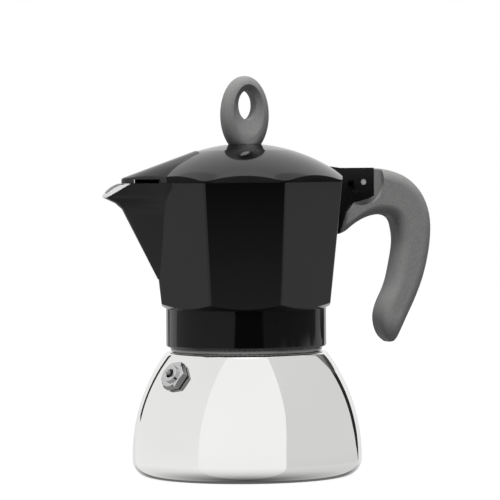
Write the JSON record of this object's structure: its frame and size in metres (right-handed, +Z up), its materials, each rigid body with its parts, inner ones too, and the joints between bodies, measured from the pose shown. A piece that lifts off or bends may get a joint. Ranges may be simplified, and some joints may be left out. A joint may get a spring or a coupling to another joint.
{
  "type": "moka pot",
  "caption": "Stove-top moka pot with a bell-shaped steel boiler, an octagonal black collector, a hinged lid over its spout, and a grey hook handle and ring knob.",
  "frame": {"origin": "centre of the boiler's flat base, on the pot's axis, on the table", "axes": "+Z up along the pot's axis, +X towards the handle, -X towards the spout"},
  "size_m": [0.1592, 0.104, 0.1807],
  "materials": {
    "mirror_steel": "mirror-polished stainless steel",
    "plated_brass": "nickel-plated brass",
    "plain_steel": "turned steel",
    "bare_aluminium": "bare cast and pressed aluminium",
    "black_enamel": "gloss black paint on cast aluminium",
    "grey_plastic": "matt fine-speckled grey plastic",
    "silicone": "silicone rubber"
  },
  "bodies": {
    "boiler": {"boiler_shell": "mirror_steel", "valve_body": "plated_brass", "valve_washer": "silicone", "valve_lock_nut": "plated_brass", "valve_seat": "plated_brass", "valve_spring": "plain_steel"},
    "valve_stem": {"valve_plunger": "plain_steel", "valve_seal": "silicone"},
    "funnel": {"funnel_basket": "bare_aluminium", "funnel_tube": "bare_aluminium", "funnel_strainer": "bare_aluminium"},
    "gasket": {"gasket": "silicone"},
    "collector": {"collector": "black_enamel", "filter_plate": "bare_aluminium", "coffee_column": "bare_aluminium", "hinge_pin": "plain_steel", "handle_grip": "grey_plastic", "handle_screw": "plain_steel"},
    "lid": {"lid": "black_enamel", "knob": "grey_plastic", "knob_washer": "plain_steel", "knob_screw": "plain_steel"}
  },
  "joints": [
    {"name": "collector_lift", "type": "slide", "parent": "boiler", "child": "gasket", "axis": [0, 0, 1], "range_m": [0, 0.01201]},
    {"name": "collector_turn", "type": "hinge", "parent": "gasket", "child": "collector", "pos_m": [0, 0, 0.0644], "axis": [0, 0, 1], "range_deg": [0, 1440]},
    {"name": "funnel_lift", "type": "slide", "parent": "boiler", "child": "funnel", "axis": [0, 0, 1], "range_m": [0, 0.00601]},
    {"name": "lid_hinge", "type": "hinge", "parent": "collector", "child": "lid", "pos_m": [0.0549, 0, 0.1323], "axis": [0, 1, 0], "range_deg": [0, 105]},
    {"name": "valve_pop", "type": "slide", "parent": "boiler", "child": "valve_stem", "axis": [-0.8257, -0.3087, 0.4722], "range_m": [0, 0.0015], "stiffness_N_per_m": 800, "springref_m": -0.006, "deforming": ["valve_spring"]}
  ],
  "couplings": [
    {"joint": "collector_lift", "follows": "collector_turn", "m_per_rad": 0.00047746},
    {"joint": "funnel_lift", "follows": "collector_turn", "m_per_rad": 0.00023873}
  ]
}
